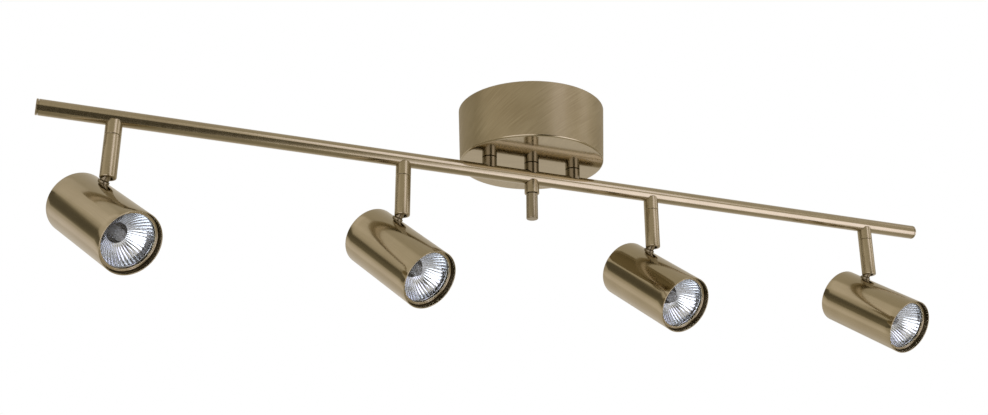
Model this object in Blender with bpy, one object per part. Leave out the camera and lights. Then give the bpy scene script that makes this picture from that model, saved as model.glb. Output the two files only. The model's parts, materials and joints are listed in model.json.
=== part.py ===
"""Ceiling spotlight bar with four swivelling, tilting lamp heads.

Frame: metres, +Z up. The origin is the centre of the ceiling face, +X runs along the bar.
Heads are numbered from the -X end. Each head hangs on a stem that swivels about its own
vertical axis, and tilts about a ball held in the stem's lower end.
"""
import bmesh
import bpy
from math import asin, cos, hypot, pi, radians, sin, sqrt
from mathutils import Matrix, Vector

# Clearances
face_gap = 0.0003
running_gap = 0.0003
swing_gap = 0.0011

# Ceiling bracket, with a stud fixed under its middle
bracket_length = 0.104
bracket_width = 0.026
bracket_thickness = 0.002
bracket_slot_offset = 0.038
bracket_slot_length = 0.016
bracket_slot_width = 0.005
stud_radius = 0.003
stud_nut_flats = 0.010
stud_nut_height = 0.005
earth_ring_radius = 0.0055
earth_tab_length = 0.014
earth_tab_width = 0.0045
earth_thickness = 0.0008

# Canopy: an open-topped cup that closes against the ceiling
canopy_radius = 0.070
canopy_taper = 0.0015
canopy_height = 0.054
canopy_wall = 0.0012
canopy_edge = 0.0010

# Terminal block on the canopy floor
terminal_length = 0.030
terminal_width = 0.016
terminal_height = 0.012
terminal_offset = 0.034
terminal_ways = 3
terminal_screw_radius = 0.0021
terminal_screw_depth = 0.004

# Bar
bar_overhang = 0.0629
bar_radius = 0.007
bar_wall = 0.0012
bar_drop = 0.014
cap_thickness = 0.0018
cap_plug_length = 0.007
cap_chamfer = 0.0004

# Posts between the canopy and the bar
post_radius = 0.007
post_pitch = 0.043
saddle_rise = 0.0031
post_thread_radius = 0.0046
post_thread_length = 0.010
post_nut_flats = 0.015
post_nut_height = 0.0045
wire_bore_radius = 0.0022
spigot_wall = 0.0012

# Ferrules under the bar and the finial that closes the middle one
ferrule_radius = 0.007
ferrule_drop = 0.0163
ferrule_chamfer = 0.0004
finial_radius = 0.0055
finial_length = 0.0250
finial_bore_depth = 0.015
finial_chamfer = 0.0007

# Arms
arm_pitch = 0.2544
spigot_length = 0.010
stem_radius = 0.007
stem_length = 0.0381
stem_chamfer = 0.0010
pivot_height = 0.006
ball_radius = 0.0050
neck_radius = 0.0040
collar_radius = 0.0049
collar_thickness = 0.0010

# Lamp heads
lamp_radius = 0.025
lamp_clearance = 0.0015
shell_wall = 0.0010
shell_length = 0.094
neck_setback = 0.0215
mouth_recess = 0.0046
ring_thickness = 0.0015
ring_width = 0.0026
lens_thickness = 0.0016
reflector_depth = 0.026
reflector_wall = 0.0016
lamp_length = 0.040
lamp_base_radius = 0.0115
capsule_radius = 0.0048
capsule_length = 0.030
capsule_seat_depth = 0.010
lamp_pin_radius = 0.0016
lamp_pin_spread = 0.005
lamp_pin_length = 0.006
socket_radius = 0.0135
socket_length = 0.017
fixing_radius = 0.0030
holder_thickness = 0.0016
holder_width = 0.013

# Where the four heads point at rest: turn from +X towards -Y, then dip below level, in degrees
aims = ((57.4, 32.9), (61.0, 36.8), (72.8, 35.0), (75.3, 32.8))

# Heights and lengths that follow from the sizes above
canopy_floor_radius = canopy_radius - canopy_taper
bar_length = arm_pitch * (len(aims) - 1) + 2 * bar_overhang
bar_height = -canopy_height - bar_drop
pivot_drop = ferrule_drop + face_gap + stem_length - pivot_height
shell_bore = lamp_radius + lamp_clearance
shell_radius = shell_bore + shell_wall
neck_reach = hypot(stem_radius, pivot_height - stem_chamfer) + swing_gap
shell_drop = neck_reach + shell_radius
shell_front = shell_length - neck_setback
stem_bore = ball_radius + running_gap
mouth_bore = neck_radius + running_gap
stud_bore = stud_radius + running_gap


def clear_scene():
    for thing in list(bpy.data.objects):
        bpy.data.objects.remove(thing, do_unlink=True)


def finish_mesh(form, name):
    """Turn a bmesh into a mesh with outward faces and smooth round sides."""
    bmesh.ops.recalc_face_normals(form, faces=form.faces)
    mesh = bpy.data.meshes.new(name)
    form.to_mesh(mesh)
    form.free()
    mesh.shade_smooth()
    mesh.set_sharp_from_angle(angle=radians(32))
    return mesh


def turned(outline, sides, hollow=False, name="turned"):
    """Turn (radius, height) points about Z. A hollow outline is a closed loop off the axis."""
    form = bmesh.new()
    rings = []
    for radius, height in outline:
        if radius == 0:
            rings.append([form.verts.new((0, 0, height))])
            continue
        angles = [2 * pi * step / sides for step in range(sides)]
        rings.append([form.verts.new((radius * cos(a), radius * sin(a), height)) for a in angles])
    pairs = list(zip(rings, rings[1:]))
    if hollow:
        pairs.append((rings[-1], rings[0]))
    for low, high in pairs:
        for step in range(sides):
            after = (step + 1) % sides
            corners = [low[step % len(low)], low[after % len(low)]]
            corners += [high[after % len(high)], high[step % len(high)]]
            face = []
            for corner in corners:
                if corner not in face:
                    face.append(corner)
            form.faces.new(face)
    return finish_mesh(form, name)


def rod(radius, low, high, sides, chamfer=0.0, name="rod"):
    outline = [(0, low), (radius - chamfer, low)]
    if chamfer:
        outline += [(radius, low + chamfer), (radius, high - chamfer)]
    outline += [(radius - chamfer, high), (0, high)]
    return turned(outline, sides, name=name)


def tube(radius, bore, low, high, sides, name="tube"):
    return turned([(radius, low), (radius, high), (bore, high), (bore, low)], sides, True, name)


def block(low, high, name="block"):
    """A box between two corners."""
    form = bmesh.new()
    bmesh.ops.create_cube(form, size=1)
    size = [b - a for a, b in zip(low, high)]
    centre = [(a + b) / 2 for a, b in zip(low, high)]
    bmesh.ops.scale(form, vec=size, verts=form.verts)
    bmesh.ops.translate(form, vec=centre, verts=form.verts)
    return finish_mesh(form, name)


def hexagon(flats, bore, low, high, name="nut"):
    """A hexagonal nut with a round hole."""
    across = flats / sqrt(3)
    outside = rod(across, low, high, 6, name=name)
    return cut(outside, rod(bore, low - flats, high + flats, 12))


def moved(mesh, shift=(0, 0, 0), turn=None):
    """Turn a mesh, then shift it."""
    if turn is not None:
        mesh.transform(turn)
    mesh.transform(Matrix.Translation(Vector(shift)))
    return mesh


along_x = Matrix.Rotation(radians(90), 4, "Y")
along_y = Matrix.Rotation(radians(-90), 4, "X")


def combined(first, second, operation):
    """Apply one exact Boolean and return the new mesh."""
    target = bpy.data.objects.new("target", first)
    tool = bpy.data.objects.new("tool", second)
    bpy.context.scene.collection.objects.link(target)
    bpy.context.scene.collection.objects.link(tool)
    step = target.modifiers.new("step", "BOOLEAN")
    step.operation = operation
    step.solver = "EXACT"
    step.object = tool
    bpy.context.view_layer.update()
    seen = target.evaluated_get(bpy.context.evaluated_depsgraph_get())
    result = bpy.data.meshes.new_from_object(seen)
    result.name = first.name
    bpy.data.objects.remove(target)
    bpy.data.objects.remove(tool)
    form = bmesh.new()
    form.from_mesh(result)
    bmesh.ops.remove_doubles(form, verts=form.verts, dist=1e-6)
    bmesh.ops.dissolve_degenerate(form, edges=form.edges, dist=1e-6)
    form.to_mesh(result)
    form.free()
    result.shade_smooth()
    result.set_sharp_from_angle(angle=radians(32))
    return result


def cut(body, cutter):
    return combined(body, cutter, "DIFFERENCE")


def joined(body, extra):
    return combined(body, extra, "UNION")


def finish(name, colour, metallic, roughness, alpha=1.0):
    """A plain Principled material."""
    material = bpy.data.materials.new(name)
    material.use_nodes = True
    shader = material.node_tree.nodes["Principled BSDF"]
    shader.inputs["Base Color"].default_value = (*colour, 1.0)
    shader.inputs["Metallic"].default_value = metallic
    shader.inputs["Roughness"].default_value = roughness
    shader.inputs["Alpha"].default_value = alpha
    return material


def place(name, mesh, material, where=(0, 0, 0), parent=None):
    """Add one named piece. Copies may share a mesh."""
    piece = bpy.data.objects.new(name, mesh)
    if not mesh.materials:
        mesh.materials.append(material)
    piece.location = where
    piece.parent = parent
    bpy.context.scene.collection.objects.link(piece)
    return piece


def axis_empty(name, where, parent=None, turn=(0, 0, 0)):
    """An empty on a joint's axis."""
    empty = bpy.data.objects.new(name, None)
    empty.location = where
    empty.rotation_euler = turn
    empty.parent = parent
    bpy.context.scene.collection.objects.link(empty)
    return empty


def bar_saddle(length):
    """The cylinder along X that a saddle is cut with, centred on the bar's axis."""
    return moved(rod(bar_radius + face_gap, -length / 2, length / 2, 24), turn=along_x)


def bracket_mesh():
    plate = block((-bracket_length / 2, -bracket_width / 2, -bracket_thickness),
                  (bracket_length / 2, bracket_width / 2, 0), "ceiling_bracket")
    for side in (-1, 1):
        half = (bracket_slot_length - bracket_slot_width) / 2
        middle = side * bracket_slot_offset
        slot = block((middle - half, -bracket_slot_width / 2, -2 * bracket_thickness),
                     (middle + half, bracket_slot_width / 2, bracket_thickness))
        plate = cut(plate, slot)
        for end in (-half, half):
            round_end = rod(bracket_slot_width / 2, -2 * bracket_thickness, bracket_thickness, 16)
            plate = cut(plate, moved(round_end, (middle + end, 0, 0)))
    return plate


def earth_mesh():
    top = -bracket_thickness - face_gap
    ring = rod(earth_ring_radius, top - earth_thickness, top, 20, name="earth_terminal")
    tab = block((0, -earth_tab_width / 2, top - earth_thickness),
                (earth_tab_length, earth_tab_width / 2, top))
    tab = moved(tab, turn=Matrix.Rotation(radians(90), 4, "Z"))
    lug = joined(ring, tab)
    return cut(lug, rod(stud_bore, top - 2 * earth_thickness, top + earth_thickness, 16))


def canopy_mesh():
    floor = -canopy_height
    outline = [(0, floor), (canopy_floor_radius - canopy_edge, floor)]
    outline += [(canopy_floor_radius, floor + canopy_edge), (canopy_radius, 0)]
    outline += [(canopy_radius - canopy_wall, 0)]
    outline += [(canopy_floor_radius - canopy_wall, floor + canopy_wall), (0, floor + canopy_wall)]
    cup = turned(outline, 48, name="canopy_cup")
    for side in (-1, 0, 1):
        hole = rod(post_thread_radius + running_gap, floor - canopy_wall, floor + 2 * canopy_wall, 12)
        cup = cut(cup, moved(hole, (side * post_pitch, 0, 0)))
    return cup


def terminal_mesh():
    low = -canopy_height + canopy_wall + face_gap
    high = low + terminal_height
    body = block((-terminal_length / 2, terminal_offset - terminal_width / 2, low),
                 (terminal_length / 2, terminal_offset + terminal_width / 2, high), "terminal_block")
    step = terminal_length / terminal_ways
    for way in range(terminal_ways):
        middle = step * (way - (terminal_ways - 1) / 2)
        screw = rod(terminal_screw_radius, high - terminal_screw_depth, high + terminal_screw_depth, 8)
        body = cut(body, moved(screw, (middle, terminal_offset, 0)))
        wire = moved(rod(wire_bore_radius, -terminal_width, terminal_width, 8), turn=along_y)
        body = cut(body, moved(wire, (middle, terminal_offset, low + terminal_height / 3)))
    return body


def post_mesh(bore, thread_length, spigot):
    """A post about its own axis, with z = 0 on the bar's axis. Its thread goes up through the canopy."""
    under_canopy = bar_drop - face_gap
    floor_top = bar_drop + canopy_wall
    body = cut(rod(post_radius, saddle_rise, under_canopy, 24, name="post"), bar_saddle(4 * post_radius))
    body = joined(body, rod(post_thread_radius, under_canopy - post_radius / 4,
                            floor_top + thread_length, 12))
    if spigot:
        end = bar_radius - bar_wall - spigot_wall
        body = joined(body, rod(bore + spigot_wall, end, under_canopy - post_radius / 4, 12))
    return cut(body, rod(bore, -bar_radius, floor_top + 2 * thread_length, 12))


def bar_mesh():
    half = bar_length / 2 - cap_thickness - face_gap
    body = moved(tube(bar_radius, bar_radius - bar_wall, -half, half, 24, "bar_tube"), turn=along_x)
    wire_hole = wire_bore_radius + spigot_wall + running_gap
    drills = [(side * post_pitch, wire_hole, 0, 2 * bar_radius) for side in (-1, 1)]
    drills.append((0, stud_bore, -2 * bar_radius, 2 * bar_radius))
    drills += [(arm_x(number), wire_hole, -2 * bar_radius, 0) for number in range(len(aims))]
    for across, radius, low, high in drills:
        body = cut(body, moved(rod(radius, low, high, 12), (across, 0, 0)))
    return body


def cap_mesh():
    """An end cap on the +X end. Its outer face is at x = 0."""
    plug = bar_radius - bar_wall - running_gap
    inner = -cap_thickness
    outline = [(0, inner - cap_plug_length), (plug, inner - cap_plug_length), (plug, inner)]
    outline += [(bar_radius, inner), (bar_radius, -cap_chamfer), (bar_radius - cap_chamfer, 0), (0, 0)]
    return moved(turned(outline, 24, name="end_cap"), turn=along_x)


def ferrule_mesh(bore, spigot):
    """A ferrule about its own axis, with z = 0 on the bar's axis."""
    outline = [(0, -ferrule_drop), (ferrule_radius - ferrule_chamfer, -ferrule_drop)]
    outline += [(ferrule_radius, ferrule_chamfer - ferrule_drop), (ferrule_radius, -saddle_rise)]
    outline.append((0, -saddle_rise))
    body = cut(turned(outline, 24, name="ferrule"), bar_saddle(4 * ferrule_radius))
    if spigot:
        lower = -ferrule_drop - spigot_length
        upper = bar_wall + spigot_wall - bar_radius
        body = joined(body, rod(bore + spigot_wall, lower, upper, 12))
    return cut(body, rod(bore, -3 * ferrule_drop, bar_radius, 12))


def finial_mesh():
    """The finial, with z = 0 on the bar's axis. A blind hole in its top takes the stud."""
    top = -ferrule_drop - face_gap
    low = top - finial_length
    body = rod(finial_radius, low, top, 24, finial_chamfer, "finial_pin")
    return cut(body, rod(stud_bore, top - finial_bore_depth, top + finial_length, 12))


def stem_mesh():
    """A stem about its own axis, with z = 0 at the tilt pivot and its slot towards -X."""
    low = -pivot_height
    high = low + stem_length
    spigot_bore = wire_bore_radius + spigot_wall + running_gap
    seat = sqrt(stem_bore ** 2 - mouth_bore ** 2)
    ball_top = stem_bore
    outline = [(mouth_bore, low), (stem_radius - stem_chamfer, low), (stem_radius, low + stem_chamfer)]
    outline += [(stem_radius, high), (spigot_bore, high), (spigot_bore, ball_top)]
    outline += [(stem_bore, ball_top), (stem_bore, 0)]
    outline += [(sqrt(stem_bore ** 2 - (seat / 2) ** 2), -seat / 2), (mouth_bore, -seat)]
    body = turned(outline, 24, True, "stem")
    slot = block((-2 * stem_radius, -mouth_bore, -2 * stem_radius), (0, mouth_bore, 0))
    slot_end = rod(mouth_bore, 0, 2 * stem_radius, 16)
    slot_end = moved(slot_end, turn=Matrix.Rotation(radians(-90), 4, "Y"))
    return cut(body, joined(slot, slot_end))


def ball_mesh():
    """Ball, neck and fixing thread, with the pivot at the origin and the neck down."""
    outline = [(0, ball_radius)]
    below = -sqrt(ball_radius ** 2 - neck_radius ** 2)
    steps = 5
    lowest = pi - asin(neck_radius / ball_radius)
    for step in range(1, steps):
        angle = lowest * step / steps
        outline.append((ball_radius * sin(angle), ball_radius * cos(angle)))
    foot = -neck_reach + collar_thickness + 2 * face_gap
    inside = -neck_reach - shell_wall - 4 * face_gap - holder_thickness - ring_thickness
    outline += [(neck_radius, below), (neck_radius, foot), (fixing_radius, foot)]
    outline += [(fixing_radius, inside), (0, inside)]
    return turned(outline, 16, name="tilt_ball")


def shell_along_x(radius, low, high, sides):
    """A cylinder on the shell's axis, in the tilt frame."""
    return moved(rod(radius, low, high, sides), (0, 0, -shell_drop), along_x)


def collar_mesh():
    """The collar between neck and shell, saddle-cut to sit on the shell."""
    top = -neck_reach + collar_thickness + face_gap
    body = rod(collar_radius, top - 2 * collar_thickness, top, 16, name="neck_collar")
    body = cut(body, rod(fixing_radius + running_gap, -2 * neck_reach, 0, 12))
    return cut(body, shell_along_x(shell_radius + face_gap, -2 * collar_radius, 2 * collar_radius, 96))


def shell_mesh():
    rear = -neck_setback
    outline = [(0, rear), (shell_radius, rear), (shell_radius, shell_front)]
    outline += [(shell_bore, shell_front), (shell_bore, rear + shell_wall), (0, rear + shell_wall)]
    body = moved(turned(outline, 40, name="shell"), (0, 0, -shell_drop), along_x)
    return cut(body, rod(fixing_radius + running_gap, -shell_drop, 0, 12))


def ring_mesh():
    """The snap ring that holds the lamp in."""
    front = shell_front - mouth_recess
    outer = shell_bore - running_gap
    inner = outer - ring_width
    back = front - ring_thickness
    outline = [(outer, back), (outer, front), (inner, front), (inner, back)]
    return moved(turned(outline, 32, True, "ring"), (0, 0, -shell_drop), along_x)


def lens_front():
    return shell_front - mouth_recess - ring_thickness - face_gap


def rim_front():
    return lens_front() - lens_thickness - face_gap


def lens_mesh():
    front = lens_front()
    body = rod(lamp_radius, front - lens_thickness, front, 28, lens_thickness / 4, "lens")
    return moved(body, (0, 0, -shell_drop), along_x)


def reflector_mesh():
    """A dish with a thick neck behind it, two bayonet pins and a bore for the capsule."""
    front = rim_front()
    bore = capsule_radius + 2 * running_gap
    mouth = lamp_radius - reflector_wall
    outline = []
    steps = 4
    for step in range(steps + 1):
        share = step / steps
        radius = bore + (mouth - bore) * share
        outline.append((radius, front - reflector_depth * (1 - share ** 2)))
    outline += [(lamp_radius, front), (lamp_radius, front - 2 * reflector_wall)]
    for share in (0.8, 0.6):
        radius = bore + (mouth - bore) * share + reflector_wall
        outline.append((radius, front - reflector_depth * (1 - share ** 2) - reflector_wall))
    outline.append((lamp_base_radius, front - reflector_depth - reflector_wall))
    rear = front - lamp_length
    outline += [(lamp_base_radius, rear), (0, rear)]
    seat = front - reflector_depth - capsule_seat_depth
    outline = [(0, seat), (bore, seat)] + outline
    body = turned(outline, 20, name="reflector")
    for side in (-1, 1):
        pin = rod(lamp_pin_radius, rear - lamp_pin_length, rear + lamp_pin_length / 2, 6)
        body = joined(body, moved(pin, (0, side * lamp_pin_spread, 0)))
    return moved(body, (0, 0, -shell_drop), along_x)


def capsule_mesh():
    base = rim_front() - reflector_depth - capsule_seat_depth + face_gap
    tip = base + capsule_length
    outline = [(0, base), (capsule_radius, base), (capsule_radius, tip - capsule_radius)]
    for step in (1, 2):
        angle = radians(30 * step)
        outline.append((capsule_radius * cos(angle), tip - capsule_radius * (1 - sin(angle))))
    outline.append((0, tip))
    return moved(turned(outline, 12, name="capsule"), (0, 0, -shell_drop), along_x)


def socket_front():
    return rim_front() - lamp_length - face_gap


def socket_mesh():
    front = socket_front()
    body = rod(socket_radius, front - socket_length, front, 16, name="lamp_socket")
    for side in (-1, 1):
        hole = rod(lamp_pin_radius + 2 * running_gap, front - 1.3 * lamp_pin_length, front + lamp_pin_length, 8)
        body = cut(body, moved(hole, (0, side * lamp_pin_spread, 0)))
    return moved(body, (0, 0, -shell_drop), along_x)


def holder_mesh():
    """An angle plate: one leg behind the socket, the other under the shell's top wall."""
    front = socket_front() - socket_length - face_gap
    half = holder_width / 2
    top = sqrt(shell_bore ** 2 - half ** 2) - face_gap - shell_drop
    tail = fixing_radius + 2 * holder_thickness
    back = block((front - holder_thickness, -half, -shell_drop - socket_radius / 2),
                 (front, half, top), "socket_holder")
    leg_low = min(front - holder_thickness, -tail)
    leg_high = max(front, tail)
    leg = block((leg_low, -half, top - holder_thickness), (leg_high, half, top))
    plate = joined(back, leg)
    return cut(plate, rod(fixing_radius + running_gap, -shell_drop, 0, 12))


def arm_x(number):
    return arm_pitch * (number - (len(aims) - 1) / 2)


def build_mounting(brass, steel, plastic):
    """Everything fixed to the ceiling."""
    stud_low = bar_height - ferrule_drop - finial_bore_depth + stud_radius
    stud_top = -bracket_thickness - face_gap
    nut_top = stud_top - earth_thickness - face_gap
    place("ceiling_bracket", bracket_mesh(), steel)
    place("centre_stud", rod(stud_radius, stud_low, stud_top, 16, stud_radius / 6), steel)
    place("earth_terminal", earth_mesh(), steel)
    place("stud_nut", hexagon(stud_nut_flats, stud_bore, nut_top - stud_nut_height, nut_top), steel)
    place("canopy_cup", canopy_mesh(), brass)
    place("terminal_block", terminal_mesh(), plastic)
    outer_post = post_mesh(wire_bore_radius, post_thread_length, True)
    nut_low = -canopy_height + canopy_wall + face_gap
    post_nut = hexagon(post_nut_flats, post_thread_radius + running_gap, nut_low, nut_low + post_nut_height)
    for side, word in ((-1, "left"), (1, "right")):
        place("post_" + word, outer_post, brass, (side * post_pitch, 0, bar_height))
        place("post_nut_" + word, post_nut, steel, (side * post_pitch, 0, 0))
    place("post_centre", post_mesh(stud_bore, canopy_wall, False), brass, (0, 0, bar_height))


def build_bar(brass):
    place("bar_tube", bar_mesh(), brass, (0, 0, bar_height))
    place("end_cap_right", cap_mesh(), brass, (bar_length / 2, 0, bar_height))
    left_cap = moved(cap_mesh(), turn=Matrix.Rotation(radians(180), 4, "Z"))
    place("end_cap_left", left_cap, brass, (-bar_length / 2, 0, bar_height))
    place("finial_ferrule", ferrule_mesh(stud_bore, False), brass, (0, 0, bar_height))
    place("finial_pin", finial_mesh(), brass, (0, 0, bar_height))


def build_heads(brass, steel, ceramic, silver, quartz, glass):
    """Four arms, each with a swivel empty, a tilt empty and the pieces that hang on them."""
    ferrule = ferrule_mesh(wire_bore_radius, True)
    stem = stem_mesh()
    head_pieces = (
        ("tilt_ball", ball_mesh(), brass),
        ("neck_collar", collar_mesh(), brass),
        ("shell", shell_mesh(), brass),
        ("retaining_ring", ring_mesh(), brass),
        ("lamp_lens", lens_mesh(), glass),
        ("lamp_reflector", reflector_mesh(), silver),
        ("lamp_capsule", capsule_mesh(), quartz),
        ("lamp_socket", socket_mesh(), ceramic),
        ("socket_holder", holder_mesh(), steel),
    )
    for number, (turn, dip) in enumerate(aims):
        label = str(number + 1)
        across = arm_x(number)
        place("arm" + label + "_ferrule", ferrule, brass, (across, 0, bar_height))
        swivel = axis_empty("swivel_axis_" + label, (across, 0, bar_height - pivot_drop),
                            turn=(0, 0, -radians(turn)))
        tilt = axis_empty("tilt_axis_" + label, (0, 0, 0), swivel, (0, radians(dip), 0))
        place("arm" + label + "_stem", stem, brass, parent=swivel)
        for word, mesh, material in head_pieces:
            place("head" + label + "_" + word, mesh, material, parent=tilt)


def build():
    clear_scene()
    brass = finish("antique_brass", (0.27, 0.20, 0.115), 1.0, 0.32)
    steel = finish("zinc_steel", (0.55, 0.56, 0.57), 1.0, 0.40)
    plastic = finish("white_plastic", (0.85, 0.85, 0.82), 0.0, 0.50)
    ceramic = finish("ceramic", (0.88, 0.87, 0.83), 0.0, 0.55)
    silver = finish("silvered_glass", (0.75, 0.77, 0.80), 1.0, 0.12)
    quartz = finish("quartz", (0.95, 0.96, 0.97), 0.0, 0.05, 0.4)
    glass = finish("cover_glass", (0.92, 0.95, 0.96), 0.0, 0.04, 0.3)
    build_mounting(brass, steel, plastic)
    build_bar(brass)
    build_heads(brass, steel, ceramic, silver, quartz, glass)


build()
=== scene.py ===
"""Looks of a ceiling spotlight bar in brushed antique brass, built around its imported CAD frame."""
import json
from math import asin, cos, hypot, pi, radians, sin, sqrt

import bmesh
import bpy
from mathutils import Matrix, Vector

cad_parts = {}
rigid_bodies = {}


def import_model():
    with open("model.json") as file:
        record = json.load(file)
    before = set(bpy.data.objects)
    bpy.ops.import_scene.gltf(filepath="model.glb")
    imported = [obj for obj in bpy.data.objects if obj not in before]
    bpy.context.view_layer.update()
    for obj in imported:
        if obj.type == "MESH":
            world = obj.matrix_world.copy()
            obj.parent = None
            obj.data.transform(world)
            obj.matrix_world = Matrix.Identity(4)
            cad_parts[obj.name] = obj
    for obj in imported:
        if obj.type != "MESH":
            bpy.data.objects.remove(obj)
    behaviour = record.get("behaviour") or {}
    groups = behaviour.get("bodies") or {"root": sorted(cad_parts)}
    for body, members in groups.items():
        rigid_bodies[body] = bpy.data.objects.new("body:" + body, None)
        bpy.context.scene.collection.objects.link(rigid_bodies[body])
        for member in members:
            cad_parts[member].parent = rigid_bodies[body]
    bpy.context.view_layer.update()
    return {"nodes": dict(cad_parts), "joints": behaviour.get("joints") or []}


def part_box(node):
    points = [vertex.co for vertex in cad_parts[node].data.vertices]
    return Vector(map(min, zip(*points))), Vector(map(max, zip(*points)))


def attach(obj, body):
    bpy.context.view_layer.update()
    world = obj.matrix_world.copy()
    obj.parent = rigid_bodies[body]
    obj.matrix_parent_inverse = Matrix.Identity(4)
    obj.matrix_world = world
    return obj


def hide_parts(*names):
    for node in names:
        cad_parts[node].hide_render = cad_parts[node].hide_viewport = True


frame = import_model()
nodes = frame["nodes"]
joints = {joint["name"]: joint for joint in frame["joints"]}

# ---------------------------------------------------------------- helpers


def local_points(node, matrix):
    """A CAD node's vertices in another frame."""
    inverse = matrix.inverted()
    return [inverse @ vertex.co for vertex in nodes[node].data.vertices]


def local_box(node, matrix):
    points = local_points(node, matrix)
    low = Vector(min(p[axis] for p in points) for axis in range(3))
    high = Vector(max(p[axis] for p in points) for axis in range(3))
    return low, high


def arc(centre, radius, start, end, steps):
    """Points on an arc in the (radius, height) plane, angles in degrees."""
    found = []
    for step in range(steps + 1):
        angle = radians(start + (end - start) * step / steps)
        found.append((centre[0] + radius * cos(angle), centre[1] + radius * sin(angle)))
    return found


def as_mesh(form, name, sharp=35):
    bmesh.ops.remove_doubles(form, verts=form.verts, dist=1e-7)
    bmesh.ops.recalc_face_normals(form, faces=form.faces)
    mesh = bpy.data.meshes.new(name)
    form.to_mesh(mesh)
    form.free()
    mesh.shade_smooth()
    mesh.set_sharp_from_angle(angle=radians(sharp))
    return mesh


def turned(name, outline, sides=96, closed=False, sharp=35, lift=None):
    """Turn (radius, height) points about Z, with a UV map in metres: round, then along the outline.

    lift(point index, angle) may give a height of its own, which makes saddle cuts.
    """
    form = bmesh.new()
    layer = form.loops.layers.uv.new("metres")
    lengths = [0.0]
    for one, two in zip(outline, outline[1:]):
        lengths.append(lengths[-1] + hypot(two[0] - one[0], two[1] - one[1]))
    widest = max(radius for radius, height in outline)
    rings = []
    for index, (radius, height) in enumerate(outline):
        ring = []
        for step in range(sides):
            angle = 2 * pi * step / sides
            level = height if lift is None else lift(index, angle, radius, height)
            ring.append(form.verts.new((radius * cos(angle), radius * sin(angle), level)))
            if radius == 0:
                break
        rings.append(ring)
    count = len(outline)
    for index in range(count if closed else count - 1):
        following = (index + 1) % count
        low, high = rings[index], rings[following]
        if len(low) == 1 and len(high) == 1:
            continue
        for step in range(sides):
            after = (step + 1) % sides
            corners = [(low[step % len(low)], step, index), (low[after % len(low)], step + 1, index)]
            corners += [(high[after % len(high)], step + 1, following)]
            corners += [(high[step % len(high)], step, following)]
            kept = []
            for corner in corners:
                if all(corner[0] is not other[0] for other in kept):
                    kept.append(corner)
            face = form.faces.new([corner[0] for corner in kept])
            for loop, (vert, turn, level) in zip(face.loops, kept):
                along = lengths[level] if not (closed and level == 0 and index == count - 1) else lengths[-1]
                loop[layer].uv = (2 * pi * widest * turn / sides, along)
    return as_mesh(form, name, sharp)


along_x = Matrix.Rotation(radians(90), 4, "Y")


def cut(mesh, cutter, sharp=35):
    """Cut one mesh out of another with an exact Boolean, applied."""
    target = bpy.data.objects.new("target", mesh)
    tool = bpy.data.objects.new("tool", cutter)
    scene = bpy.context.scene
    scene.collection.objects.link(target)
    scene.collection.objects.link(tool)
    step = target.modifiers.new("step", "BOOLEAN")
    step.operation = "DIFFERENCE"
    step.solver = "EXACT"
    step.object = tool
    bpy.context.view_layer.update()
    result = bpy.data.meshes.new_from_object(target.evaluated_get(bpy.context.evaluated_depsgraph_get()))
    result.name = mesh.name
    bpy.data.objects.remove(target)
    bpy.data.objects.remove(tool)
    result.shade_smooth()
    result.set_sharp_from_angle(angle=radians(sharp))
    return result


def show(name, mesh, material, body, matrix=None, stands_for=()):
    """Add one visible piece on a body."""
    piece = bpy.data.objects.new(name, mesh)
    bpy.context.scene.collection.objects.link(piece)
    if not mesh.materials:
        mesh.materials.append(material)
    if matrix is not None:
        piece.matrix_world = matrix
    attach(piece, body)
    if stands_for:
        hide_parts(*stands_for)
    return piece


# ---------------------------------------------------------------- materials


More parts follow.
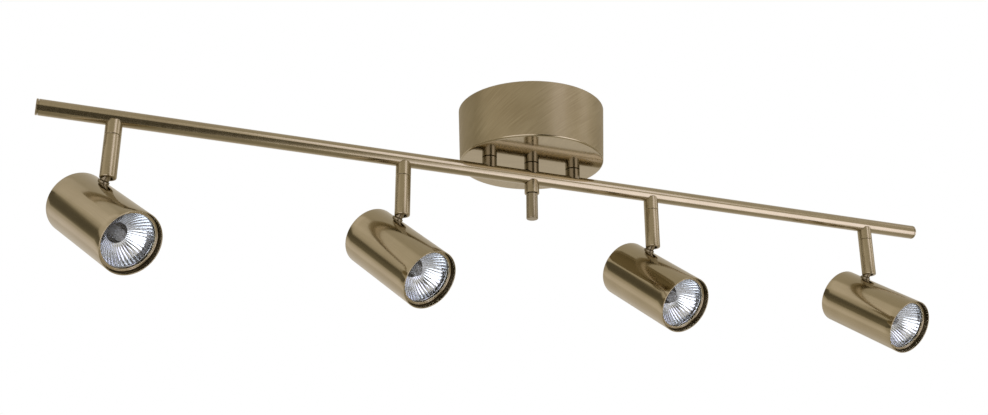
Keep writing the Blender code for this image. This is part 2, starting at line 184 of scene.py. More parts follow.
class Nodes:
    """A small writer for one material's node tree."""

    def __init__(self, name):
        self.material = bpy.data.materials.new(name)
        self.material.use_nodes = True
        self.tree = self.material.node_tree
        self.shader = self.tree.nodes["Principled BSDF"]

    def add(self, kind, **settings):
        node = self.tree.nodes.new(kind)
        for key, value in settings.items():
            setattr(node, key, value)
        return node

    def link(self, source, target):
        self.tree.links.new(source, target)

    def set(self, **values):
        """Set sockets of the shader directly; an underscore stands for a space."""
        for key, value in values.items():
            self.shader.inputs[key.replace("_", " ")].default_value = value

    def mapped(self, coordinate, scale, turn=0.0):
        """UV or Object coordinates, scaled and turned about Z."""
        source = self.add("ShaderNodeTexCoord")
        mapping = self.add("ShaderNodeMapping")
        mapping.inputs["Scale"].default_value = scale
        mapping.inputs["Rotation"].default_value = (0, 0, radians(turn))
        self.link(source.outputs[coordinate], mapping.inputs["Vector"])
        return mapping.outputs["Vector"]

    def turned_then_scaled(self, coordinate, scale, turn):
        """Turn first, so that the stretched direction is a slant."""
        first = self.mapped(coordinate, (1, 1, 1), turn)
        second = self.add("ShaderNodeMapping")
        second.inputs["Scale"].default_value = scale
        self.link(first, second.inputs["Vector"])
        return second.outputs["Vector"]

    def noise(self, vector, scale=1.0, detail=4.0, rough=0.55):
        node = self.add("ShaderNodeTexNoise")
        node.inputs["Scale"].default_value = scale
        node.inputs["Detail"].default_value = detail
        node.inputs["Roughness"].default_value = rough
        self.link(vector, node.inputs["Vector"])
        return node.outputs["Fac"]

    def ramp(self, value, low, high, low_at=0.3, high_at=0.7):
        """Map a 0 to 1 value to a range of numbers."""
        node = self.add("ShaderNodeMapRange")
        node.inputs["From Min"].default_value = low_at
        node.inputs["From Max"].default_value = high_at
        node.inputs["To Min"].default_value = low
        node.inputs["To Max"].default_value = high
        self.link(value, node.inputs["Value"])
        return node.outputs["Result"]

    def colours(self, value, stops):
        node = self.add("ShaderNodeValToRGB")
        band = node.color_ramp
        while len(band.elements) < len(stops):
            band.elements.new(0.5)
        for element, (place, colour) in zip(band.elements, stops):
            element.position = place
            element.color = (*colour, 1)
        self.link(value, node.inputs["Fac"])
        return node.outputs["Color"]

    def blend(self, kind, amount, first, second):
        node = self.add("ShaderNodeMix", data_type="RGBA", blend_type=kind)
        node.inputs["Factor"].default_value = amount
        self.link(first, node.inputs[6])
        self.link(second, node.inputs[7])
        return node.outputs[2]

    def bump(self, height, strength, distance):
        node = self.add("ShaderNodeBump")
        node.inputs["Strength"].default_value = strength
        node.inputs["Distance"].default_value = distance
        self.link(height, node.inputs["Height"])
        self.link(node.outputs["Normal"], self.shader.inputs["Normal"])


BRASS_LOW = (0.330, 0.276, 0.164)
BRASS_MID = (0.407, 0.345, 0.213)
BRASS_HIGH = (0.484, 0.418, 0.268)


def brass(name, slant, across=2600.0, along=60.0, roughness=(0.20, 0.30), strength=0.10,
          aniso=0.35, coat=0.6, coat_rough=0.05, dark=1.0, spread=1.0):
    """Antique brass with fine brush lines that run at a slant to the piece's round direction."""
    n = Nodes(name)
    stretch = n.turned_then_scaled("UV", (along, across, along), slant)
    lines = n.noise(stretch, 1.0, 3.0, 0.6)
    wide = n.turned_then_scaled("UV", (along / 3, across / 9, along / 3), slant)
    broad = n.noise(wide, 1.0, 2.0, 0.5)
    cloud = n.noise(n.mapped("UV", (28, 28, 28)), 1.0, 3.0, 0.5)
    shades = [tuple(dark * (middle + spread * (part - middle)) for part, middle in zip(colour, BRASS_MID))
              for colour in (BRASS_LOW, BRASS_MID, BRASS_HIGH)]
    fine = n.colours(lines, [(0.25, shades[0]), (0.5, shades[1]), (0.75, shades[2])])
    patchy = n.colours(cloud, [(0.3, (0.90, 0.885, 0.86)), (0.7, (1.0, 1.0, 1.0))])
    tint = n.blend("MULTIPLY", 1.0, fine, patchy)
    n.link(tint, n.shader.inputs["Base Color"])
    mixed = n.add("ShaderNodeMath", operation="MULTIPLY_ADD")
    n.link(broad, mixed.inputs[0])
    mixed.inputs[1].default_value = 0.5
    half = n.add("ShaderNodeMath", operation="MULTIPLY")
    half.inputs[1].default_value = 0.5
    n.link(lines, half.inputs[0])
    n.link(half.outputs[0], mixed.inputs[2])
    n.link(n.ramp(mixed.outputs[0], roughness[0], roughness[1]), n.shader.inputs["Roughness"])
    n.bump(lines, strength, 0.00002)
    n.set(Metallic=1.0, Anisotropic=aniso, Coat_Weight=coat, Coat_Roughness=coat_rough,
          Coat_IOR=1.6)
    return n.material


def plain_metal(name, colour, rough):
    """Bare or plated metal with a faint mottle."""
    n = Nodes(name)
    mottle = n.noise(n.mapped("Object", (260, 260, 260)), 1.0, 4.0)
    tone = n.colours(mottle, [(0.3, tuple(0.82 * part for part in colour)), (0.7, colour)])
    n.link(tone, n.shader.inputs["Base Color"])
    n.link(n.ramp(mottle, rough - 0.07, rough + 0.09), n.shader.inputs["Roughness"])
    n.bump(mottle, 0.12, 0.00005)
    n.set(Metallic=1.0)
    return n.material


def moulded(name, colour, rough, grain):
    """Plastic or ceramic with a fine grain."""
    n = Nodes(name)
    grainy = n.noise(n.mapped("Object", (grain, grain, grain)), 1.0, 5.0)
    tone = n.colours(grainy, [(0.3, tuple(0.9 * part for part in colour)), (0.7, colour)])
    n.link(tone, n.shader.inputs["Base Color"])
    n.link(n.ramp(grainy, rough - 0.05, rough + 0.08), n.shader.inputs["Roughness"])
    n.bump(grainy, 0.2, 0.00006)
    return n.material


def clear(name, tint, rough, frost=0.0):
    """Clear glass with the faintest waviness; frost is the share that scatters."""
    n = Nodes(name)
    wave = n.noise(n.mapped("Object", (90, 90, 90)), 1.0, 2.0)
    n.link(n.ramp(wave, rough, rough + 0.02), n.shader.inputs["Roughness"])
    n.bump(wave, 0.03, 0.0001)
    n.set(Base_Color=(*tint, 1), Transmission_Weight=1 - frost, IOR=1.46)
    return n.material


def silvered(name):
    """The reflector's vapour-coated aluminium, cool, with faint shade from facet to facet."""
    n = Nodes(name)
    patch = n.noise(n.mapped("Object", (420, 420, 420)), 1.0, 2.0)
    tone = n.colours(patch, [(0.3, (0.88, 0.92, 0.99)), (0.7, (0.93, 0.96, 1.0))])
    n.link(tone, n.shader.inputs["Base Color"])
    n.link(n.ramp(patch, 0.05, 0.11), n.shader.inputs["Roughness"])
    n.bump(patch, 0.08, 0.0001)
    n.set(Metallic=1.0)
    return n.material


canopy_brass = brass("canopy_brass", -38, across=1250, along=34, roughness=(0.38, 0.50), strength=0.2,
                     aniso=0.3, coat=0.1)
edge_brass = brass("edge_brass", 0, across=2200, along=30, roughness=(0.14, 0.2), strength=0.03)
floor_brass = brass("canopy_floor_brass", 90, across=1500, along=40, roughness=(0.10, 0.16), strength=0.03,
                    aniso=0.0, coat_rough=0.06)
# The posts: brass darkened to 0.66, painted shade between the canopy and the bar.
post_brass_painted_shade = brass("post_brass_painted_shade", 0, across=1700, along=30, roughness=(0.20, 0.27), strength=0.02, dark=0.66,
                   spread=0.4, coat_rough=0.15)
tube_brass = brass("tube_brass", 0, across=1700, along=30, roughness=(0.15, 0.22), strength=0.025, coat=1.0,
                   spread=0.45)
shell_brass = brass("shell_brass", 90, across=1700, along=30, roughness=(0.08, 0.13), strength=0.02,
                    spread=0.45, aniso=0.25)
# The shell's inner wall: brass darkened to 0.3, painted shade inside the mouth's recess.
bore_brass_painted_shade = brass("bore_brass_painted_shade", 0, across=900, along=60, roughness=(0.32, 0.48), strength=0.2,
                   coat=0.0, dark=0.3)
stem_brass = brass("stem_brass", 0, across=1700, along=30, roughness=(0.22, 0.30), strength=0.025, spread=0.5,
                   coat_rough=0.2)
pin_brass = brass("pin_brass", 0, across=1700, along=30, roughness=(0.24, 0.32), strength=0.02, dark=0.78,
                  spread=0.4, coat_rough=0.2)
# The ball and its collar: brass darkened to 0.62, painted shade under the stem.
ball_brass_painted_shade = brass("ball_brass_painted_shade", 0, across=900, along=300, roughness=(0.28, 0.4), strength=0.02, dark=0.62,
                   spread=0.5, coat=0.2)
ring_brass = brass("ring_brass", 0, across=1700, along=40, roughness=(0.26, 0.34), strength=0.02, coat=1.0,
                   dark=1.3, spread=0.4)
zinc = plain_metal("zinc_steel", (0.66, 0.67, 0.68), 0.34)
plastic = moulded("white_plastic", (0.84, 0.84, 0.81), 0.45, 900)
ceramic = moulded("ceramic", (0.86, 0.85, 0.81), 0.6, 1300)
silver = silvered("silvered_glass")
quartz = clear("quartz", (0.96, 0.97, 1.0), 0.03, 0.3)
cover = clear("cover_glass", (0.97, 0.985, 1.0), 0.0)
tungsten = plain_metal("tungsten", (0.30, 0.30, 0.32), 0.4)
# Near-black walls of the reflector's capsule hole: painted shade in the hole.
hole_painted_shade = plain_metal("hole_painted_shade", (0.13, 0.13, 0.14), 0.25)
# Darker silver for the strips along the flute borders: painted shade in the creases.
crease_painted_shade = plain_metal("crease_painted_shade", (0.40, 0.41, 0.43), 0.25)

# ---------------------------------------------------------------- sizes read from the frame

cup_low, cup_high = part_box("canopy_cup")
bar_low, bar_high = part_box("bar_tube")
cap_low, cap_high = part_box("end_cap_right")
post_low, post_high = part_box("post_left")
ferrule_low, ferrule_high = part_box("finial_ferrule")
pin_low, pin_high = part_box("finial_pin")

bar_height = (bar_low.z + bar_high.z) / 2
bar_radius = (bar_high.z - bar_low.z) / 2
canopy_radius = (cup_high.x - cup_low.x) / 2
canopy_taper = 0.0015
canopy_wall = 0.0012
post_radius = (post_high.x - post_low.x) / 2
ferrule_radius = (ferrule_high.x - ferrule_low.x) / 2
finial_radius = (pin_high.x - pin_low.x) / 2
bar_wall = 0.0012
cap_depth = 0.0018
saddle_rise = 0.0031
hair = 0.0003
round_off = 0.0003

# ---------------------------------------------------------------- canopy, posts and bar


def canopy_piece():
    floor = cup_low.z
    base = canopy_radius - canopy_taper
    edge = 0.0016
    outline = [(0, floor), (base * 0.5, floor), (base - edge - 0.002, floor)]
    outline += arc((base - edge, floor + edge), edge, -90, 0, 10)
    outline += [(base + canopy_taper * 0.5, floor / 2), (canopy_radius, -0.0003)]
    outline += [(canopy_radius - 0.0003, 0), (canopy_radius - canopy_wall, 0)]
    inside = base - canopy_wall
    outline += [(inside, floor + canopy_wall + 0.001), (inside - 0.001, floor + canopy_wall)]
    outline += [(0, floor + canopy_wall)]
    mesh = turned("canopy", outline, 160, sharp=30)
    mesh.materials.append(canopy_brass)
    mesh.materials.append(floor_brass)
    mesh.materials.append(edge_brass)
    for face in mesh.polygons:
        if face.normal.z < -0.98:
            face.material_index = 1
        elif face.normal.z < -0.1:
            face.material_index = 2
    show("canopy", mesh, canopy_brass, "root", stands_for=["canopy_cup"])


def end_radii(node, place, level):
    """The bore and the outer radius of a turned node at one of its ends."""
    found = [hypot(p.x, p.y) for p in local_points(node, place) if abs(p.z - level) < 0.00001]
    return min(found), max(found)


def saddled(name, node, place, outer, far, edge, up, spigot=True):
    """A post or ferrule about its own axis, wrapped round the bar at z = 0; up is 1 or -1.

    Past its shoulder at far it goes on as a threaded tube or a spigot, as its CAD node does.
    """
    low, high = local_box(node, place)
    end, inside = (high.z, low.z) if up > 0 else (low.z, high.z)
    bore, tail = end_radii(node, place, end)
    wrap = bar_radius + hair

    def near(angle, ring):
        across = min(ring * abs(sin(angle)), wrap)
        return max(sqrt(wrap * wrap - across * across), saddle_rise)

    outline = [(bore, inside), (end_radii(node, place, inside)[1], inside)] if spigot else []
    first_saddled = len(outline)
    outline += [(outline[-1][0] if spigot else bore, 0), (outer - edge, 0), (outer, edge)]
    outline += [(outer, up * far / 2), (outer, up * (far - edge)), (outer - edge, up * far)]
    outline += [(tail, up * far), (tail, end), (bore, end)]

    def lift(index, angle, ring, height):
        if first_saddled <= index < first_saddled + 3:
            return up * (near(angle, ring) + height)
        return height

    return turned(name, outline, 96, closed=True, sharp=28, lift=lift)


def posts():
    far = cup_low.z - bar_height - hair
    for word in ("left", "centre", "right"):
        low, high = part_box("post_" + word)
        place = Matrix.Translation(((low.x + high.x) / 2, 0, bar_height))
        mesh = saddled("post", "post_" + word, place, post_radius, far, 0.0003, 1, word != "centre")
        show("post_sleeve_" + word, mesh, post_brass_painted_shade, "root", place, ["post_" + word])


def bar():
    end = cap_high.x - cap_depth - hair
    stretches = 24
    outline = [(bar_radius - bar_wall, -end), (bar_radius - round_off, -end), (bar_radius, -end + round_off)]
    outline += [(bar_radius, end * (2 * step / stretches - 1)) for step in range(1, stretches)]
    outline += [(bar_radius, end - round_off), (bar_radius - round_off, end), (bar_radius - bar_wall, end)]
    mesh = turned("bar", outline, 96, closed=True, sharp=30)
    mesh.transform(along_x)
    show("bar", mesh, tube_brass, "root", Matrix.Translation((0, 0, bar_height)), ["bar_tube"])
    depth = cap_depth
    plug_length = 0.003
    plug_radius = bar_radius - 0.0016
    rim = 0.0005
    profile = [(0, -depth - plug_length), (plug_radius, -depth - plug_length), (plug_radius, -depth)]
    profile += [(bar_radius - round_off, -depth), (bar_radius, -depth + round_off)]
    profile += arc((bar_radius - rim, -rim), rim, 0, 90, 5) + [(bar_radius * 0.5, 0), (0, 0)]
    cap = turned("cap", profile, 96, sharp=30)
    cap.transform(along_x)
    for word, side in (("right", 1), ("left", -1)):
        turn = Matrix.Rotation(0 if side > 0 else pi, 4, "Z")
        place = Matrix.Translation((side * cap_high.x, 0, bar_height)) @ turn
        show("cap_" + word, cap, tube_brass, "root", place, ["end_cap_" + word])


def ferrules():
    far = bar_height - ferrule_low.z
    shared = None
    middle = Matrix.Translation((0, 0, bar_height))
    mesh = saddled("middle_ferrule", "finial_ferrule", middle, ferrule_radius, far, 0.0004, -1, False)
    show("middle_ferrule", mesh, stem_brass, "root", middle, ["finial_ferrule"])
    for number in range(1, 5):
        node = "arm%d_ferrule" % number
        low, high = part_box(node)
        place = Matrix.Translation(((low.x + high.x) / 2, 0, bar_height))
        shared = shared or saddled("ferrule", node, place, ferrule_radius, far, 0.0004, -1)
        show("ferrule_%d" % number, shared, stem_brass, "root", place, [node])
    length = pin_high.z - pin_low.z
    edge = 0.0007
    outline = [(0, 0), (finial_radius * 0.6, 0), (finial_radius - edge, 0)]
    outline += arc((finial_radius - edge, edge), edge, -90, 0, 5)
    outline += [(finial_radius, length * 0.5), (finial_radius, length - 0.0004)]
    outline += [(finial_radius - 0.0004, length), (0.0035, length), (0.0035, length * 0.5), (0, length * 0.5)]
    pin = turned("finial", outline, 80, sharp=30)
    show("finial", pin, pin_brass, "root", Matrix.Translation((0, 0, pin_low.z)), ["finial_pin"])


canopy_piece()
posts()
bar()
ferrules()

# ---------------------------------------------------------------- heads


class Head:
    """One head's frames: the stem's, upright at the pivot, and the shell's, tilted with +X forward."""

    def __init__(self, number):
        self.number = number
        tilt = joints["head%d_tilt" % number]
        pivot = Vector(tilt["pos_m"])
        side = Vector(tilt["axis"])
        dip = -radians(tilt["range_deg"][0])
        up = Vector((0, 0, 1))
        level = side.cross(up)
        ahead = level * cos(dip) - up * sin(dip)
        above = level * sin(dip) + up * cos(dip)
        self.upright = self.matrix(level, side, up, pivot)
        self.tilted = self.matrix(ahead, side, above, pivot)

    @staticmethod
    def matrix(first, second, third, place):
        rows = [(first[i], second[i], third[i], place[i]) for i in range(3)]
        return Matrix(rows + [(0, 0, 0, 1)])


heads = [Head(number) for number in range(1, 5)]
first = heads[0]
shell_low, shell_high = local_box("head1_shell", first.tilted)
ring_low, ring_high = local_box("head1_retaining_ring", first.tilted)
lens_low, lens_high = local_box("head1_lamp_lens", first.tilted)
dish_low, dish_high = local_box("head1_lamp_reflector", first.tilted)
tip_low, tip_high = local_box("head1_lamp_capsule", first.tilted)
ball_low, ball_high = local_box("head1_tilt_ball", first.tilted)
collar_low, collar_high = local_box("head1_neck_collar", first.tilted)
stem_low, stem_high = local_box("arm1_stem", first.upright)

shell_radius = (shell_high.y - shell_low.y) / 2
shell_axis = (shell_high.z + shell_low.z) / 2
shell_bore = shell_radius - 0.0010
on_axis = Matrix.Translation((0, 0, shell_axis)) @ along_x


def shell_mesh():
    rear, front = shell_low.x, shell_high.x
    edge, lip = 0.0007, 0.00042
    outline = [(0, rear), (shell_radius * 0.5, rear), (shell_radius - edge - 0.001, rear)]
    outline += arc((shell_radius - edge, rear + edge), edge, -90, 0, 6)
    outline += [(shell_radius, rear + (front - rear) * step / 12) for step in range(1, 12)]
    outline += arc((shell_radius - lip, front - lip), lip, 0, 90, 5)
    outline += arc((shell_bore + lip, front - lip), lip, 90, 180, 5)
    outline += [(shell_bore, front - 0.02), (shell_bore, front - 0.05), (shell_bore, rear + 0.0014)]
    outline += [(shell_bore - 0.0004, rear + 0.001), (0, rear + 0.001)]
    mesh = turned("shell", outline, 144, sharp=30)
    mesh.materials.append(shell_brass)
    mesh.materials.append(bore_brass_painted_shade)
    # Faces of the inner wall take the darkened bore brass: painted shade inside the mouth.
    for face in mesh.polygons:
        outward = face.normal.x * face.center.x + face.normal.y * face.center.y
        inside = hypot(face.center.x, face.center.y) < shell_bore + 0.0001
        if outward < 0 and inside:
            face.material_index = 1
    mesh.transform(on_axis)
    return mesh


def ring_mesh():
    """The snap ring: rounded, with a raised inner lip."""
    outer = (ring_high.y - ring_low.y) / 2
    inner = outer - 0.0026
    back, front = ring_low.x, ring_high.x
    edge = 0.00035
    outline = arc((outer - edge, front - edge), edge, 0, 90, 4)
    outline += [(outer - 0.0010, front), (outer - 0.0013, front - 0.0003), (inner + 0.0010, front - 0.0003)]
    outline += [(inner + 0.0008, front)]
    outline += arc((inner + edge, front - edge), edge, 90, 180, 4)
    outline += [(inner, back), (outer, back)]
    mesh = turned("ring", outline, 128, closed=True, sharp=30)
    mesh.transform(on_axis)
    return mesh


def lens_mesh():
    radius = (lens_high.y - lens_low.y) / 2
    back, front = lens_low.x, lens_high.x
    edge = 0.0004
    bulge = 0.0004
    outline = [(0, back), (radius - edge, back)]
    outline += arc((radius - edge, back + edge), edge, -90, 0, 3)
    outline += arc((radius - edge, front - bulge - edge), edge, 0, 90, 3)
    outline += [(radius * share, front - bulge * share ** 2) for share in (0.9, 0.7, 0.5, 0.3, 0.12)]
    outline += [(0, front)]
    mesh = turned("lens", outline, 96, sharp=40)
    mesh.transform(on_axis)
    return mesh


DISH_SECTORS = 44
DISH_RINGS = 8
DISH_DEPTH = 0.0165
DISH_HOLE = 0.0082
HOLE_DEPTH = 0.006
FLUTE = ((0.0, 0.0), (0.12, 0.05), (0.5, 0.09), (0.88, 0.05), (1.0, 0.0))


def dish_mesh():
    """The lamp's reflector: a bowl of fluted facets with a bead rim, a hole for the capsule, and its back.

    The hole is closed HOLE_DEPTH below the bowl's lowest level, so the capsule's root and most of its
    filament are inside the solid back.
    """
    outside = (dish_high.y - dish_low.y) / 2
    front = dish_high.x
    mouth = outside - 0.0020
    form = bmesh.new()

    def bowl(share, angle, inset):
        radius = DISH_HOLE + (mouth - DISH_HOLE) * share
        level = front - DISH_DEPTH * (1 - (radius / mouth) ** 2)
        slope = 2 * DISH_DEPTH * radius / mouth ** 2
        size = hypot(1, slope)
        radius -= inset * slope / size
        level += inset / size
        return Vector((radius * cos(angle), radius * sin(angle), level))

    borders = [(step / DISH_RINGS) ** 1.2 for step in range(DISH_RINGS + 1)]
    parts = len(FLUTE) - 1
    for ring in range(DISH_RINGS):
        for sector in range(DISH_SECTORS):
            grid = []
            for s in (0.0, 0.5, 1.0):
                share = borders[ring] + (borders[ring + 1] - borders[ring]) * s
                width = (DISH_HOLE + (mouth - DISH_HOLE) * share) * 2 * pi / DISH_SECTORS
                swell = 1 - 0.6 * (2 * s - 1) ** 2
                row = []
                for t, rise in FLUTE:
                    angle = 2 * pi * (sector + t) / DISH_SECTORS
                    row.append(form.verts.new(bowl(share, angle, rise * width * swell)))
                grid.append(row)
            for low, high in zip(grid, grid[1:]):
                for j in range(parts):
                    face = form.faces.new((low[j], high[j], high[j + 1], low[j + 1]))
                    # The border strips of each flute take the darker silver: painted shade in the creases.
                    if j in (0, parts - 1):
                        face.material_index = 2
    turns = [2 * pi * (sector + t) / DISH_SECTORS for sector in range(DISH_SECTORS) for t, rise in FLUTE[:-1]]
    sides = len(turns)
    base = 0.0115
    rear = dish_low.x
    bead = 0.0004
    outline = [(mouth, front)]
    outline += [(mouth + bead - bead * cos(radians(a)), front + bead * sin(radians(a)))
                for a in (30, 60, 90, 120, 150)]
    outline += [(mouth + 2 * bead, front), (outside - 0.0002, front), (outside, front - 0.0003)]
    outline += [(outside, front - 0.0026), (outside - 0.0020, front - 0.0080)]
    outline += [(outside - 0.0060, front - 0.0160)]
    outline += [(base, front - 0.0276), (base, rear), (0, rear)]
    inner = [(0, front - DISH_DEPTH - HOLE_DEPTH), (DISH_HOLE - 0.0006, front - DISH_DEPTH - HOLE_DEPTH)]
    inner += [(DISH_HOLE, front - DISH_DEPTH * (1 - (DISH_HOLE / mouth) ** 2))]
    for chain in (outline, inner):
        rings = []
        for radius, level in chain:
            if radius == 0:
                rings.append([form.verts.new((0, 0, level))])
            else:
                rings.append([form.verts.new((radius * cos(a), radius * sin(a), level)) for a in turns])
        for low, high in zip(rings, rings[1:]):
            for step in range(sides):
                after = (step + 1) % sides
                corners = [low[step % len(low)], low[after % len(low)]]
                corners += [high[after % len(high)], high[step % len(high)]]
                kept = []
                for corner in corners:
                    if corner not in kept:
                        kept.append(corner)
                form.faces.new(kept)
    mesh = as_mesh(form, "dish", sharp=14)
    mesh.materials.append(silver)
    mesh.materials.append(hole_painted_shade)
    mesh.materials.append(crease_painted_shade)
    hole = front - DISH_DEPTH * (1 - (DISH_HOLE / mouth) ** 2)
    # The hole's walls take the near-black material: painted shade in the hole.
    for face in mesh.polygons:
        radius = hypot(face.center.x, face.center.y)
        in_hole = front - DISH_DEPTH - HOLE_DEPTH - 0.0001 < face.center.z < hole
        if radius < DISH_HOLE + 0.0001 and in_hole:
            face.material_index = 1
    mesh.transform(on_axis)
    return mesh


def capsule_mesh():
    """A small quartz bulb with a pinched root and a drawn tip."""
    radius = (tip_high.y - tip_low.y) / 2
    back, front = tip_low.x, tip_high.x
    outline = [(0, back), (radius * 0.75, back), (radius * 0.78, back + 0.002)]
    outline += [(radius * 0.97, back + 0.005), (radius, back + 0.007), (radius, front - radius)]
    outline += [(radius * cos(a), front - 0.0012 - (radius - 0.0012) * (1 - sin(a)))
                for a in (radians(20), radians(40), radians(60), radians(76))]
    outline += [(0.0008, front - 0.0010), (0.0005, front - 0.0002), (0, front)]
    mesh = turned("capsule", outline, 40, sharp=50)
    mesh.transform(on_axis)
    return mesh


def filament_mesh():
    """The coiled filament and its two leads, as one swept wire."""
    back = tip_low.x
    turns, steps = 9, 14
    coil = 0.0007
    centre = back + 0.0115
    path = [Vector((0.0018, 0, back + 0.0015)), Vector((0.0018, 0, centre - 0.0035))]
    for step in range(turns * steps + 1):
        angle = 2 * pi * step / steps
        level = centre - 0.003 + 0.006 * step / (turns * steps)
        path.append(Vector((coil * cos(angle), coil * sin(angle), level)))
    path += [Vector((-0.0018, 0, centre + 0.0035)), Vector((-0.0019, 0, back + 0.0015))]
    form = bmesh.new()
    wire, sides = 0.00013, 6
    rings = []
    for index, point in enumerate(path):
        ahead = path[min(index + 1, len(path) - 1)] - path[max(index - 1, 0)]
        ahead.normalize()
        aside = ahead.cross(Vector((0.13, 0.97, 0.21))).normalized()
        over = ahead.cross(aside)
        ring = []
        for k in range(sides):
            angle = 2 * pi * k / sides
            ring.append(form.verts.new(point + wire * (aside * cos(angle) + over * sin(angle))))
        rings.append(ring)
    for low, high in zip(rings, rings[1:]):
        for k in range(sides):
            form.faces.new((low[k], low[(k + 1) % sides], high[(k + 1) % sides], high[k]))
    form.faces.new(rings[0])
    form.faces.new(rings[-1])
    mesh = as_mesh(form, "filament", sharp=60)
    mesh.transform(on_axis)
    return mesh


ball_radius = ball_high.z
neck_radius = 0.0040


def ball_mesh():
    """Ball, waist and neck, ending in a small fillet on the collar."""
    foot = collar_high.z + 0.0001
    waist = asin(neck_radius / ball_radius)
    outline = [(0, ball_radius)]
    steps = 14
    for step in range(1, steps + 1):
        angle = (pi - waist) * step / steps
        outline.append((ball_radius * sin(angle), ball_radius * cos(angle)))
    outline += [(neck_radius, foot + 0.0012), (neck_radius - 0.0001, foot + 0.0003)]
    outline += [(neck_radius - 0.0003, foot)]
    outline += [(0.003, foot), (0.003, ball_low.z), (0, ball_low.z)]
    return turned("ball", outline, 64, sharp=40)


def collar_mesh():
    """The collar, its underside shaped to the shell."""
    radius = (collar_high.y - collar_low.y) / 2
    top = collar_high.z
    edge = 0.0003
    seat = shell_radius + 0.00005

    def lift(index, angle, ring, height):
        if index <= 1:
            across = ring * sin(angle)
            return shell_axis + sqrt(seat * seat - across * across)
        return height

    outline = [(0.0031, 0), (radius, 0)]
    outline += arc((radius - edge, top - edge), edge, 0, 90, 4)
    outline += [(0.0031, top)]
    return turned("collar", outline, 64, closed=True, sharp=35, lift=lift)


def stem_mesh():
    """The stem: bored at the top for its ferrule's spigot, and slotted below for the neck."""
    low, high = stem_low.z, stem_high.z
    radius = (stem_high.y - stem_low.y) / 2
    mouth = neck_radius + hair
    seat_radius = ball_radius + hair
    seat = sqrt(seat_radius ** 2 - mouth ** 2)
    bore = 0.0037
    edge = 0.0009
    outline = [(mouth, low + 0.0002), (mouth + 0.0002, low), (radius - edge - 0.0003, low)]
    outline += arc((radius - edge, low + edge), edge, -90, 0, 6)
    outline += [(radius, high * 0.3), (radius, high * 0.65)]
    outline += arc((radius - 0.0004, high - 0.0004), 0.0004, 0, 90, 3)
    outline += [(bore, high), (bore, seat_radius), (seat_radius, seat_radius), (seat_radius, 0)]
    for step in range(1, 5):
        angle = asin(seat / seat_radius) * step / 5
        outline.append((seat_radius * cos(angle), -seat_radius * sin(angle)))
    outline.append((mouth, -seat))
    mesh = turned("stem", outline, 80, closed=True, sharp=35)
    arch = [(-mouth, 2 * low)] + [(-mouth * cos(a), mouth * sin(a)) for a in
                                  [pi * step / 20 for step in range(21)]] + [(mouth, 2 * low)]
    form = bmesh.new()
    near = [form.verts.new((0.0, y, z)) for y, z in arch]
    far = [form.verts.new((-2 * radius, y, z)) for y, z in arch]
    form.faces.new(near)
    form.faces.new(list(reversed(far)))
    for step in range(len(arch)):
        after = (step + 1) % len(arch)
        form.faces.new((near[after], near[step], far[step], far[after]))
    return cut(mesh, as_mesh(form, "slot"))


stem = stem_mesh()
head_parts = (
    ("shell", shell_mesh(), shell_brass, ["shell"], "antique_brass"),
    ("ring", ring_mesh(), ring_brass, ["retaining_ring"], "dark_brass"),
    ("glass", lens_mesh(), cover, ["lamp_lens"], "cover_glass"),
    ("dish", dish_mesh(), silver, ["lamp_reflector"], "silvered_glass"),
    ("capsule", capsule_mesh(), quartz, ["lamp_capsule"], "quartz"),
    ("filament", filament_mesh(), tungsten, [], "zinc_steel"),
    ("ball", ball_mesh(), ball_brass_painted_shade, ["tilt_ball"], "antique_brass"),
    ("collar", collar_mesh(), ball_brass_painted_shade, ["neck_collar"], "antique_brass"),
)
for head in heads:
    label = str(head.number)
    show("stem_" + label, stem, stem_brass, "arm" + label, head.upright, ["arm%s_stem" % label])
    for word, mesh, material, stood_for, finish in head_parts:
        show("%s_%s" % (word, label), mesh, material, "head" + label, head.tilted,
             ["head%s_%s" % (label, part) for part in stood_for])

# ---------------------------------------------------------------- CAD nodes that stay

kept = {"ceiling_bracket": zinc, "centre_stud": zinc, "earth_terminal": zinc, "stud_nut": zinc,
        "post_nut_left": zinc, "post_nut_right": zinc, "terminal_block": plastic}
for number in range(1, 5):
    kept["head%d_lamp_socket" % number] = ceramic
    kept["head%d_socket_holder" % number] = zinc
for name, material in kept.items():
    mesh = nodes[name].data
    mesh.materials.clear()
    mesh.materials.append(material)

# ---------------------------------------------------------------- floor, light and camera


# Soft panels and dark flags round the object: turn from +Y towards +X, rise, width, height, soft edge
# (all in degrees) and how much each adds to the room's light.
ROOM = 0.53
PANELS = (
    ("backdrop", -25, -12, 80, 34, 20, 0.16),
    ("backdrop_left", -42, -6, 14, 22, 8, 0.18),
    ("backdrop_right", 30, -22, 34, 20, 12, 0.14),
    ("left_flag", -62, 11, 15, 35, 3, -0.40),
    ("left_flag_low", -62, -16, 26, 24, 22, -0.20),
    ("left_panel", -95, 36, 44, 60, 10, 0.18),
    ("high_left", -66, 48, 34, 34, 10, 0.14),
    ("right_panel", 141, -30, 38, 50, 14, 1.45),
    ("strip_middle", 158, 28, 22, 34, 8, 1.15),
    ("strip_right", 112, 28, 18, 34, 10, 0.85),
    ("camera_side", 181, -26, 30, 74, 8, -0.45),
    ("left_low_panel", 222, -30, 54, 70, 12, 0.85),
    ("below", 0, -90, 360, 60, 24, -0.18),
)


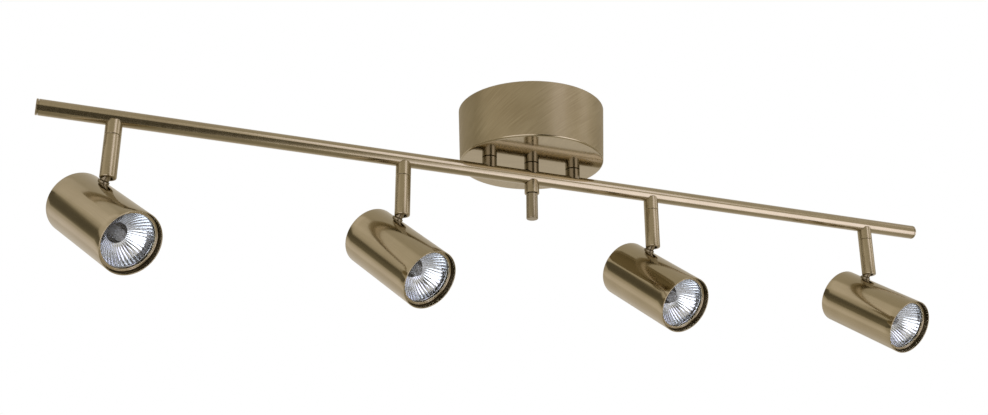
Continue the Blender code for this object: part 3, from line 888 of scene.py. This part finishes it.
def studio():
    scene = bpy.context.scene
    world = bpy.data.worlds.new("studio")
    scene.world = world
    world.use_nodes = True
    tree = world.node_tree
    background = tree.nodes["Background"]
    coordinate = tree.nodes.new("ShaderNodeTexCoord")

    def maths(operation, *values):
        node = tree.nodes.new("ShaderNodeMath")
        node.operation = operation
        for socket, value in zip(node.inputs, values):
            if isinstance(value, (int, float)):
                socket.default_value = value
            else:
                tree.links.new(value, socket)
        return node.outputs[0]

    def fade(angle, centre, width, soft):
        """1 within the width, falling smoothly to 0 over the soft edge."""
        node = tree.nodes.new("ShaderNodeMapRange")
        node.interpolation_type = "SMOOTHSTEP"
        node.inputs["From Min"].default_value = radians(width + soft) / 2
        node.inputs["From Max"].default_value = radians(width - soft) / 2
        away = maths("ABSOLUTE", maths("SUBTRACT", angle, radians(centre)))
        tree.links.new(away, node.inputs["Value"])
        return node.outputs["Result"]

    split = tree.nodes.new("ShaderNodeSeparateXYZ")
    tree.links.new(coordinate.outputs["Generated"], split.inputs[0])
    rise = maths("ARCSINE", split.outputs["Z"])
    total = ROOM
    for name, turn, height, width, tall, soft, strength in PANELS:
        spin = tree.nodes.new("ShaderNodeVectorRotate")
        spin.rotation_type = "Z_AXIS"
        spin.inputs["Angle"].default_value = radians(turn)
        tree.links.new(coordinate.outputs["Generated"], spin.inputs["Vector"])
        turned_split = tree.nodes.new("ShaderNodeSeparateXYZ")
        tree.links.new(spin.outputs[0], turned_split.inputs[0])
        around = maths("ARCTAN2", turned_split.outputs["X"], turned_split.outputs["Y"])
        lit = maths("MULTIPLY", fade(rise, height, tall, soft), strength)
        if width < 360:
            lit = maths("MULTIPLY", lit, fade(around, 0, width, soft))
        total = maths("ADD", total, lit)
    total = maths("MAXIMUM", total, 0.05)
    cool = tree.nodes.new("ShaderNodeMapRange")
    cool.inputs["From Min"].default_value = 0.2
    cool.inputs["From Max"].default_value = 1.6
    tree.links.new(total, cool.inputs["Value"])
    tint = tree.nodes.new("ShaderNodeMix")
    tint.data_type = "RGBA"
    tree.links.new(cool.outputs["Result"], tint.inputs["Factor"])
    tint.inputs[6].default_value = (1.08, 0.95, 0.68, 1)
    tint.inputs[7].default_value = (1.02, 0.98, 1.16, 1)
    path = tree.nodes.new("ShaderNodeLightPath")
    seen = tree.nodes.new("ShaderNodeMix")
    seen.data_type = "RGBA"
    tree.links.new(path.outputs["Is Camera Ray"], seen.inputs["Factor"])
    tree.links.new(tint.outputs[2], seen.inputs[6])
    seen.inputs[7].default_value = (1, 1, 1, 1)
    tree.links.new(seen.outputs[2], background.inputs["Color"])
    direct = maths("SUBTRACT", 1, path.outputs["Is Camera Ray"])
    strength = maths("MULTIPLY_ADD", total, direct, path.outputs["Is Camera Ray"])
    tree.links.new(strength, background.inputs["Strength"])


def lamp_light():
    """A wide soft light low at the front left, linked to the reflectors, cover glasses and capsules alone."""
    light = bpy.data.lights.new("lamp_light", "AREA")
    light.shape = "RECTANGLE"
    light.size = light.size_y = 2.6
    light.energy = 43
    light.color = (0.97, 0.98, 1.0)
    source = bpy.data.objects.new("lamp_light", light)
    bpy.context.scene.collection.objects.link(source)
    source.location = (-1.6, -1.75, -1.35)
    source.rotation_euler = (-source.location).to_track_quat("-Z", "Y").to_euler()
    source.visible_camera = False
    lit = bpy.data.collections.new("lit_by_lamp_light")
    for number in range(1, 5):
        for word in ("dish", "glass", "capsule"):
            lit.objects.link(bpy.data.objects["%s_%d" % (word, number)])
    source.light_linking.receiver_collection = lit


FLOOR_HALF = 14
FLOOR_LEVEL = -3.6


def floor():
    form = bmesh.new()
    bmesh.ops.create_grid(form, x_segments=1, y_segments=1, size=FLOOR_HALF)
    mesh = as_mesh(form, "floor")
    n = Nodes("pale_floor")
    n.set(Base_Color=(0.82, 0.86, 0.93, 1), Roughness=0.9)
    mesh.materials.append(n.material)
    plane = bpy.data.objects.new("floor", mesh)
    plane.location = (0, 0, FLOOR_LEVEL)
    plane.visible_glossy = False
    bpy.context.scene.collection.objects.link(plane)


def camera():
    turn, rise, roll = radians(21.331), radians(20.125), radians(-0.085)
    ahead = Vector((sin(turn) * cos(rise), cos(turn) * cos(rise), sin(rise)))
    right = Vector((cos(turn), -sin(turn), 0))
    up = right.cross(ahead)
    side = right * cos(roll) + up * sin(roll)
    top = up * cos(roll) - right * sin(roll)
    data = bpy.data.cameras.new("camera")
    data.lens = 43.93
    data.sensor_width = 36.0
    eye = bpy.data.objects.new("camera", data)
    bpy.context.scene.collection.objects.link(eye)
    place = (-0.4216, -0.9809, -0.489)
    rows = [(side[i], top[i], -ahead[i], place[i]) for i in range(3)]
    eye.matrix_world = Matrix(rows + [(0, 0, 0, 1)])
    bpy.context.scene.camera = eye


studio()
lamp_light()
floor()
camera()
bpy.context.scene.view_settings.view_transform = "Standard"

bpy.context.view_layer.update()
